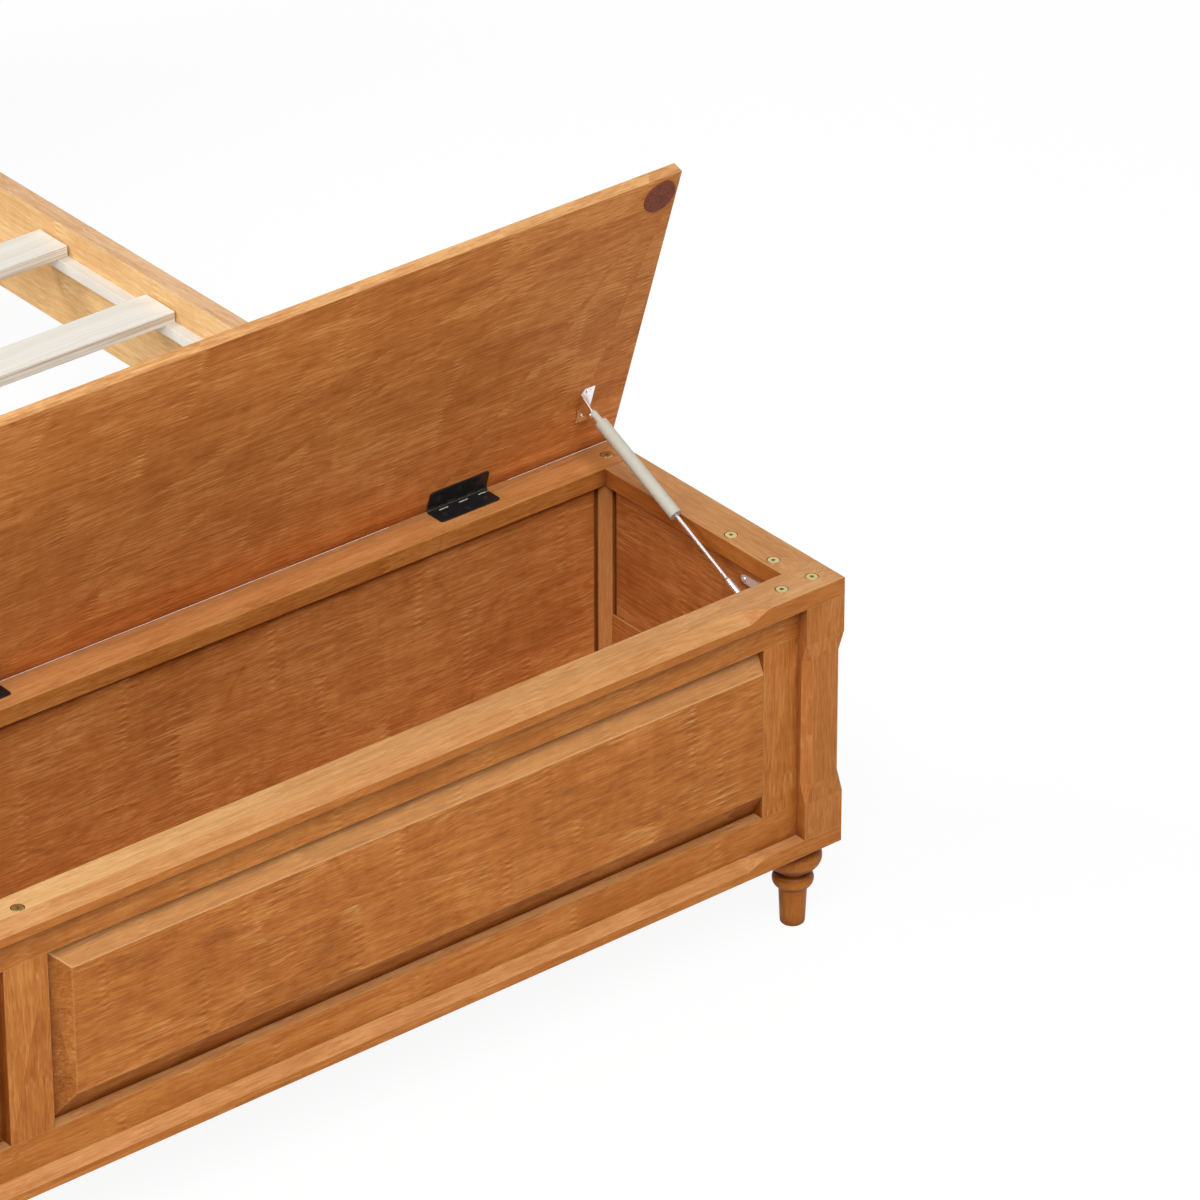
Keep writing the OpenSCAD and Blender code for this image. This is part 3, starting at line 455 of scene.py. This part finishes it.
def pineMaterial(name, along, layered=False, look=pine):
    mat, tree, shader = startMaterial(name)
    axes = split(tree, objectPlace(tree))
    first = "xyz".index(along)
    geometry = node(tree, "ShaderNodeNewGeometry")
    own = geometry.outputs["Random Per Island"]
    length, wide, thick = (maths(tree, "MULTIPLY_ADD", own, offset, axes[(first + i) % 3])
                           for i, offset in enumerate(pineOffsets))
    wander = noise(tree, combine(tree, maths(tree, "MULTIPLY", length, 1.6), wide, thick), 3.0)
    lean = maths(tree, "MULTIPLY_ADD", wander, 0.06, wide)

    def pineGrain(alongScale, acrossScale, detail, rough):
        place = combine(tree, maths(tree, "MULTIPLY", length, alongScale),
                        maths(tree, "MULTIPLY", lean, acrossScale),
                        maths(tree, "MULTIPLY", thick, acrossScale))
        return noise(tree, place, 1.0, detail, rough)

    streak = pineGrain(2.4, 130.0, 4.0, 0.6)
    broad = pineGrain(1.4, 32.0, 2.0, 0.5)
    shade = maths(tree, "MULTIPLY_ADD", mapRange(tree, streak, 0.35, 0.7), 0.45,
                  maths(tree, "MULTIPLY", mapRange(tree, broad, 0.4, 0.7), 0.45))
    colour = mixColour(tree, shade, look["pale"], look["warm"])
    if layered:    # seen on faces that stand upright
        up = split(tree, geometry.outputs["True Normal"])[2]
        side = mapRange(tree, maths(tree, "ABSOLUTE", up), 0.25, 0.6, 1.0, 0.0)
        plies = noise(tree, combine(tree, maths(tree, "MULTIPLY", axes[0], 3.0),
                                    maths(tree, "MULTIPLY", axes[1], 3.0),
                                    maths(tree, "MULTIPLY", axes[2], look["layers"])), 1.0)
        lines = maths(tree, "MULTIPLY", mapRange(tree, plies, 0.44, 0.58), side)
        colour = mixColour(tree, maths(tree, "MULTIPLY", lines, look["layerShare"]), colour, look["layer"])
    plug(tree, shader.inputs["Base Color"], colour)
    shader.inputs["Roughness"].default_value = look["roughness"]
    shader.inputs["Specular IOR Level"].default_value = 0.3
    plug(tree, shader.inputs["Normal"], bump(tree, streak, 0.25, 0.0006))
    return mat


# metals and paints, each with a fine surface of its own
def metalMaterial(name, colour, roughness, metallic=1.0, coarse=0.0, fineness=900.0, coat=0.0, specular=0.5,
                  recessShade=None):
    mat, tree, shader = startMaterial(name)
    place = objectPlace(tree)
    fine = noise(tree, place, fineness, 3.0, 0.6)
    broad = noise(tree, place, fineness / 12.0)
    shaded = [c * (1 - coarse) for c in colour]
    finish = mixColour(tree, mapRange(tree, broad, 0.3, 0.7), colour, shaded)
    if recessShade:    # painted shade in the recesses
        finish = mixColour(tree, nearCorners(tree, recessShade["reach"], 0.45, 0.9), finish, recessShade["colour"])
    plug(tree, shader.inputs["Base Color"], finish)
    shader.inputs["Metallic"].default_value = metallic
    shader.inputs["Specular IOR Level"].default_value = specular
    shader.inputs["Coat Weight"].default_value = coat
    shader.inputs["Coat Roughness"].default_value = 0.2
    plug(tree, shader.inputs["Roughness"], maths(tree, "MULTIPLY_ADD", fine, 0.12, roughness - 0.06))
    plug(tree, shader.inputs["Normal"], bump(tree, fine, 0.12, 0.0002))
    return mat


# soft edges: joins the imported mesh's split corners and rounds them a little
easing = {
    "weld": 0.00002,
    "angle": 28.0,    # degrees, the least corner that is rounded
    "pine": 0.0008,
    "plates": 0.00025,
    "polished": 0.00035,
}


def easeEdges(obj, width, segments):
    weld = obj.modifiers.new("weld", "WELD")
    weld.merge_threshold = easing["weld"]
    edge = obj.modifiers.new("edge", "BEVEL")
    edge.width = width
    edge.segments = segments
    edge.limit_method = "ANGLE"
    edge.angle_limit = math.radians(easing["angle"])
    edge.harden_normals = True


def dress(names, material, edge=0.0, segments=2):
    for name in names:
        obj = nodes[name]
        obj.data.materials.clear()
        obj.data.materials.append(material)
        if edge:
            easeEdges(obj, edge, segments)


def leftAndRight(*names):
    return [name + side for name in names for side in ("_left", "_right")]


lidAngle = 72.2    # degrees the lid leans from lying flat at rest
# painted highlight: pale cream strips on the back rim under the hinge slots
hingeSlotHighlight = {"middles": (0.8122, 0.188), "half": 0.037, "y": -0.8735, "halfWidth": 0.0035,
              "colour": (0.900, 0.780, 0.560)}
# painted light: the lid's inside made paler low down by the hinges
hingeLightSpan = {"low": 0.44, "high": 0.62, "paintedLightGain": (1.34, 1.34, 1.36)}
# painted shade in the bolts' hex recesses
boltRecessShade = {"reach": 0.0014, "colour": (0.12, 0.07, 0.02)}

dress(["front_top_rail", "front_bottom_rail", "back_rails", "headboard_rails"],
      woodMaterial("wood_rails", "x", tone=0.50, figure=0.8, topSheen=0.5))
dress(["front_stiles", "back_stiles", "headboard_stiles"],
      woodMaterial("wood_stiles", "z", tone=0.48, figure=0.8, shift=0.7))
dress(leftAndRight("post_front", "post_back") + ["headboard_posts"],
      woodMaterial("wood_posts", "z", tone=0.48, stave=0.4, figure=0.7, shift=1.9, gloss=0.05,
                   look=deepStain, chamferHighlight=0.22))
dress(leftAndRight("front_panel"),
      woodMaterial("wood_panels", "x", tone=0.44, shift=4.2, look=panelStain, crestHighlight=0.7))
dress(["headboard_panels", "headboard_lower_panels"],
      woodMaterial("wood_head_panels", "x", tone=0.44, stave=0.35, figure=0.75, shift=9.2))
# painted light: the insides, the ends and the lid below are brightened by their gain, as they lie in shade
dress(["back_panels", "chest_floor"],
      woodMaterial("wood_insides", "x", tone=0.50, shift=6.1, paintedLightGain=1.16, look=deepStain))
dress(leftAndRight("end_frame", "end_panel") + ["end_skirts", "strut_pads"],
      woodMaterial("wood_ends", "y", tone=0.48, shift=2.3, paintedLightGain=1.08, look=deepStain, topSheen=0.4))
dress(["rim_front"],
      woodMaterial("wood_front_rim", "x", tone=0.48, stave=0.5, figure=0.6, shift=7.7, topSheen=1.0,
                   middleHighlight=True))
dress(["rim_back"],
      woodMaterial("wood_back_rim", "x", tone=0.60, stave=0.5, figure=0.8, shift=3.3, topSheen=0.35,
                   slotHighlight=hingeSlotHighlight))
dress(leftAndRight("rim_end"),
      woodMaterial("wood_rim_ends", "y", tone=0.52, stave=0.5, figure=0.6, shift=5.2, topSheen=0.7))
dress(["base_front", "base_back", "headboard_boards"],
      woodMaterial("wood_bases", "x", tone=0.52, stave=0.5, figure=0.7, shift=3.9, topSheen=0.7))
dress(leftAndRight("base_end"),
      woodMaterial("wood_base_ends", "y", tone=0.56, stave=0.5, figure=0.7, shift=6.6, topSheen=0.9))
dress(["lid"],
      woodMaterial("wood_lid", "x", tone=0.50, shift=8.4, tilt=-lidAngle, paintedLightGain=1.14, gloss=0.04,
                   look=deepStain, topSheen=0.9, hingeLight=hingeLightSpan))
dress(leftAndRight("side_rail"),
      woodMaterial("wood_side_rails", "y", tone=0.48, figure=0.7, shift=1.1, look=sheenStain, topSheen=1.0,
                   innerFaceLit=True))
dress(leftAndRight("foot_front", "foot_back") + ["headboard_feet"],
      woodMaterial("wood_feet", "z", tone=0.40, stave=0.0, figure=0.6, shift=0.2))

dress(["slats"], pineMaterial("pine_slats", "x", layered=True), easing["pine"])
dress(["slat_ledgers", "middle_beam"], pineMaterial("pine_ledgers", "y", look=greyPine), easing["pine"])
dress(["beam_legs"], pineMaterial("pine_legs", "z"), easing["pine"])

dress(["hinge_leaves_chest", "hinge_leaves_lid"],
      metalMaterial("hinge_black", (0.012, 0.012, 0.013), 0.40, metallic=0.0, coarse=0.3, specular=0.35),
      easing["plates"])
dress(["hinge_screws_chest", "hinge_screws_lid"],
      metalMaterial("screw_black", (0.075, 0.078, 0.080), 0.30, metallic=0.7, coarse=0.2))
dress(["hinge_pins"], metalMaterial("pin_steel", (0.30, 0.30, 0.31), 0.28, coarse=0.1))
dress(["strut_brackets_chest"],
      metalMaterial("bracket_chrome", (0.86, 0.86, 0.88), 0.22, metallic=0.55, coarse=0.05),
      easing["plates"])
dress(["strut_brackets_lid"],
      metalMaterial("bracket_polished", (0.90, 0.89, 0.90), 0.14, coarse=0.04), easing["polished"], 3)
dress(leftAndRight("strut_rod"),
      metalMaterial("rod_bright", (0.84, 0.84, 0.86), 0.20, metallic=0.8, coarse=0.05))
dress(leftAndRight("strut_tube"),
      metalMaterial("tube_grey", (0.58, 0.59, 0.51), 0.40, metallic=0.0, coarse=0.05, coat=0.1,
                    specular=0.3))
dress(["rim_bolts"],
      metalMaterial("bolt_brass", (0.66, 0.54, 0.24), 0.28, metallic=0.85, coarse=0.2, recessShade=boltRecessShade))
dress(["rail_brackets", "rail_bolts"],
      metalMaterial("angle_zinc", (0.56, 0.57, 0.58), 0.36, coarse=0.15, fineness=500.0))
print("wood, pine and metal on")


# felt pads under the lid's front corners, with a worn soft rim and a matted face
felt = {
    "light": (0.270, 0.075, 0.040),
    "dark": (0.100, 0.026, 0.015),
    "rings": 14,
    "sides": 72,
    # shares of the radius and of the thickness
    "rim": [(1.0, 0.0), (1.0, 0.35), (0.995, 0.7), (0.975, 0.92)],
    "faceStart": 0.94,
    "fray": 0.0003,
    "lumps": 0.06,    # share of the thickness
}


def feltMaterial():
    mat, tree, shader = startMaterial("felt_brown")
    place = objectPlace(tree)
    clumps = noise(tree, place, 420.0, 4.0, 0.7, 0.6)
    fuzz = noise(tree, place, 1500.0, 3.0, 0.7)
    shade = maths(tree, "MULTIPLY_ADD", mapRange(tree, fuzz, 0.3, 0.7), 0.35,
                  maths(tree, "MULTIPLY", mapRange(tree, clumps, 0.35, 0.65), 0.65))
    plug(tree, shader.inputs["Base Color"], mixColour(tree, shade, felt["dark"], felt["light"]))
    shader.inputs["Roughness"].default_value = 0.95
    shader.inputs["Specular IOR Level"].default_value = 0.08
    shader.inputs["Sheen Weight"].default_value = 0.08
    shader.inputs["Sheen Roughness"].default_value = 0.5
    plug(tree, shader.inputs["Normal"], bump(tree, clumps, 0.7, 0.0012))
    return mat


def feltMesh(name, middle, up, radius, thick):
    sideways = Vector((1, 0, 0))
    forwards = Vector((0, up.z, -up.y))
    # profile from the glued face, round the edge and in over the open face
    steps = felt["rings"] - 1
    profile = felt["rim"] + [(felt["faceStart"] * (1 - i / steps), 1.0) for i in range(steps)]
    bm = bmesh.new()
    rings = []
    for i, (share, drop) in enumerate(profile):
        ring = []
        for k in range(felt["sides"]):
            a = 2 * math.pi * k / felt["sides"]
            ragged = 1 - felt["fray"] / radius * (1 + math.sin(7 * a + i) * math.sin(3 * a)) / 2
            lump = math.sin(5 * a + 9 * share) * math.sin(11 * share + 2 * a) if drop == 1.0 else 0.0
            out = radius * share * ragged
            depth = thick * (drop - felt["lumps"] * abs(lump))
            place = middle + sideways * (math.cos(a) * out) + forwards * (math.sin(a) * out) - up * depth
            ring.append(bm.verts.new(place))
        rings.append(ring)
    for a, b in zip(rings, rings[1:]):
        for k in range(felt["sides"]):
            after = (k + 1) % felt["sides"]
            bm.faces.new((a[k], a[after], b[after], b[k]))
    bm.faces.new(rings[-1])
    bm.faces.new(list(reversed(rings[0])))
    bmesh.ops.recalc_face_normals(bm, faces=bm.faces)
    mesh = bpy.data.meshes.new(name)
    bm.to_mesh(mesh)
    bm.free()
    for poly in mesh.polygons:
        poly.use_smooth = True
    return mesh


def makeFeltPads():
    material = feltMaterial()
    points = [v.co.copy() for v in nodes["felt_pads"].data.vertices]
    lean = math.radians(lidAngle)
    up = Vector((0, math.sin(lean), math.cos(lean)))    # the lid's own upward
    for label, side in (("right", 1), ("left", -1)):
        own = [p for p in points if p.x * side > 0]
        levels = [p.dot(up) for p in own]
        low, high = min(levels), max(levels)
        middle = sum(own, Vector()) / len(own)
        middle += up * (high - middle.dot(up))
        radius = (max(p.x for p in own) - min(p.x for p in own)) / 2
        name = "felt_pad_" + label
        pad = bpy.data.objects.new(name, feltMesh(name, middle, up, radius, high - low))
        bpy.context.scene.collection.objects.link(pad)
        pad.data.materials.append(material)
        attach(pad, "lid")
        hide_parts("felt_pads")


makeFeltPads()
print("felt pads made")


# floor, light and camera
room = {
    "half": 40.0,
    "floorColour": (0.90, 0.90, 0.90),
    "whiteShare": 0.91,    # how much of the floor is plain white, the rest takes the shadow
    "floorGlow": 1.02,
    "world": 0.12,
    "white": (1.0, 1.0, 1.0, 1.0),
}
lamps = {
    "key": {"place": (-1.5, -5.0, 6.0), "aim": (0.3, -1.0, 0.3), "size": 4.0, "watts": 480.0},
    "back": {"place": (-3.5, 3.0, 5.0), "aim": (0.0, -0.5, 0.3), "size": 2.0, "watts": 255.0},
    "side": {"place": (-6.0, -1.0, 3.5), "aim": (0.0, -1.0, 0.3), "size": 3.0, "watts": 185.0},
}


def seenStraight(tree):
    path = node(tree, "ShaderNodeLightPath")
    return maths(tree, "MAXIMUM", path.outputs["Is Camera Ray"],
                 maths(tree, "MAXIMUM", path.outputs["Is Glossy Ray"], path.outputs["Is Transmission Ray"]))


def mixShaders(tree, out, amount, a, b):
    both = node(tree, "ShaderNodeMixShader")
    plug(tree, both.inputs[0], amount)
    plug(tree, both.inputs[1], a.outputs[0])
    plug(tree, both.inputs[2], b.outputs[0])
    plug(tree, out.inputs["Surface"], both.outputs[0])


def makeFloor():
    far = room["half"]
    mesh = bpy.data.meshes.new("floor")
    mesh.from_pydata([(-far, -far, 0), (far, -far, 0), (far, far, 0), (-far, far, 0)], [], [(0, 1, 2, 3)])
    floor = bpy.data.objects.new("floor", mesh)
    bpy.context.scene.collection.objects.link(floor)
    mat = bpy.data.materials.new("floor_white")
    mat.use_nodes = True
    tree = mat.node_tree
    tree.nodes.clear()
    paint = node(tree, "ShaderNodeBsdfDiffuse")
    paint.inputs["Color"].default_value = (*room["floorColour"], 1)
    glow = node(tree, "ShaderNodeEmission")
    glow.inputs["Strength"].default_value = room["floorGlow"]
    mixShaders(tree, node(tree, "ShaderNodeOutputMaterial"),
               maths(tree, "MULTIPLY", seenStraight(tree), room["whiteShare"]), paint, glow)
    mesh.materials.append(mat)


def makeWorld():
    world = bpy.data.worlds.new("studio")
    bpy.context.scene.world = world
    world.use_nodes = True
    tree = world.node_tree
    tree.nodes.clear()
    lit = node(tree, "ShaderNodeBackground")
    lit.inputs["Color"].default_value = room["white"]
    lit.inputs["Strength"].default_value = room["world"]
    white = node(tree, "ShaderNodeBackground")
    white.inputs["Color"].default_value = room["white"]
    white.inputs["Strength"].default_value = 1.0
    mixShaders(tree, node(tree, "ShaderNodeOutputWorld"), seenStraight(tree), lit, white)


def makeLamp(name, kind):
    lamp = bpy.data.lights.new(name, "AREA")
    lamp.shape = "SQUARE"
    lamp.size = kind["size"]
    lamp.energy = kind["watts"]
    obj = bpy.data.objects.new(name, lamp)
    bpy.context.scene.collection.objects.link(obj)
    obj.location = kind["place"]
    way = Vector(kind["aim"]) - Vector(kind["place"])
    obj.rotation_euler = way.to_track_quat("-Z", "Y").to_euler()


makeFloor()
makeWorld()
for name, kind in lamps.items():
    makeLamp(name + "_light", kind)

camera = {
    "place": (-3.53704, -6.46927, 4.41896),
    "turn": (59.8479, 0.1622, -39.1367),    # degrees
    "lens": 234.17,
    "sensor": 36.0,
    "near": 0.1,
    "far": 100.0,
}


def makeCamera():
    lens = bpy.data.cameras.new("camera")
    lens.lens = camera["lens"]
    lens.sensor_width = camera["sensor"]
    lens.clip_start = camera["near"]
    lens.clip_end = camera["far"]
    eye = bpy.data.objects.new("camera", lens)
    bpy.context.scene.collection.objects.link(eye)
    eye.location = camera["place"]
    eye.rotation_euler = [math.radians(a) for a in camera["turn"]]
    bpy.context.scene.camera = eye


makeCamera()
bpy.context.scene.view_settings.view_transform = "Standard"
print("room, light and camera ready")
